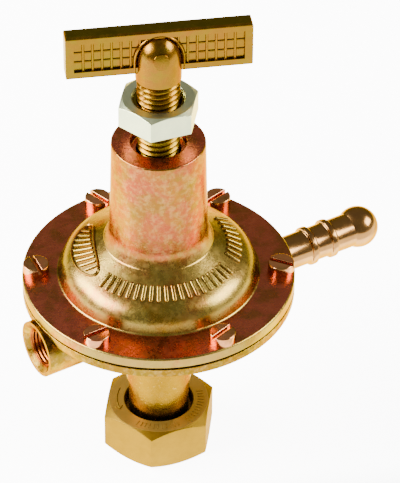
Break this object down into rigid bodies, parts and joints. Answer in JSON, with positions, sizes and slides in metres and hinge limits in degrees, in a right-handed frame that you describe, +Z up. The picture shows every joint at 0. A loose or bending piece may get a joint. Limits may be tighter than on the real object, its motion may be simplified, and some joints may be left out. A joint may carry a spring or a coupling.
{
  "type": "gas pressure regulator",
  "caption": "Adjustable gas pressure regulator: T-handle and lock nut over a domed bonnet, ribbed hose nozzle, gauge port and a swivel coupling nut below.",
  "frame": {"origin": "on the main axis in the mouth of the coupling nut, the plane that it stands on", "axes": "+Z up along the main axis towards the T-handle, +X along the hose nozzle, -X out of the gauge port"},
  "size_m": [0.0949, 0.065, 0.1238],
  "materials": {
    "body_gold": "yellow-passivated zinc casting, satin",
    "bonnet_gold": "yellow-passivated zinc casting with pink and olive bloom",
    "handle_gold": "yellow-passivated zinc casting",
    "nozzle_gold": "turned, yellow-passivated, glossy",
    "screw_gold": "yellow-passivated steel",
    "white_zinc": "clear-passivated zinc on steel",
    "satin_brass": "machined from bar, satin",
    "steel": "plain spring steel",
    "bronze_filter": "sintered bronze",
    "black_rubber": "nitrile rubber"
  },
  "bodies": {
    "regulator_body": {"body": "body_gold", "bonnet": "bonnet_gold", "diaphragm": "black_rubber", "cover_screws": "screw_gold", "hose_barb": "nozzle_gold", "barb_seal": "black_rubber", "inlet_nipple": "body_gold", "inlet_gasket": "black_rubber", "inlet_filter": "bronze_filter", "valve_seat": "satin_brass", "seat_o_ring": "black_rubber", "main_spring": "steel", "poppet_spring": "steel"},
    "inlet_nut": {"inlet_nut": "satin_brass"},
    "lock_nut": {"lock_nut": "white_zinc"},
    "spring_button": {"spring_button": "white_zinc"},
    "t_handle": {"t_handle": "handle_gold"},
    "diaphragm_stack": {"diaphragm_plate": "white_zinc", "diaphragm_washer": "white_zinc", "diaphragm_stud": "steel", "stud_nut": "white_zinc"},
    "poppet": {"poppet": "satin_brass", "poppet_pad": "black_rubber", "push_pin": "steel"}
  },
  "joints": [
    {"name": "inlet_nut_swivel", "type": "hinge", "parent": "regulator_body", "child": "inlet_nut", "pos_m": [0, 0, 0], "axis": [0, 0, 1], "continuous": true},
    {"name": "lock_nut_run", "type": "slide", "parent": "regulator_body", "child": "lock_nut", "axis": [0, 0, 1], "range_m": [-0.0065, 0.001]},
    {"name": "button_slide", "type": "slide", "parent": "regulator_body", "child": "spring_button", "axis": [0, 0, 1], "range_m": [-0.0045, 0.003], "deforming": ["main_spring"]},
    {"name": "handle_turn", "type": "hinge", "parent": "spring_button", "child": "t_handle", "pos_m": [0, 0, 0.1], "axis": [0, 0, 1], "range_deg": [-1080.1, 720.1]},
    {"name": "diaphragm_travel", "type": "slide", "parent": "regulator_body", "child": "diaphragm_stack", "axis": [0, 0, 1], "range_m": [-0.0012, 0], "stiffness_N_per_m": 800, "springref_m": 0.003, "deforming": ["diaphragm"]},
    {"name": "poppet_travel", "type": "slide", "parent": "regulator_body", "child": "poppet", "axis": [0, 0, 1], "range_m": [-0.0012, 0], "deforming": ["poppet_spring"]}
  ],
  "couplings": [
    {"joint": "handle_turn", "follows": "button_slide", "rad_per_m": 4188.8},
    {"joint": "poppet_travel", "follows": "diaphragm_travel", "ratio": 1}
  ]
}
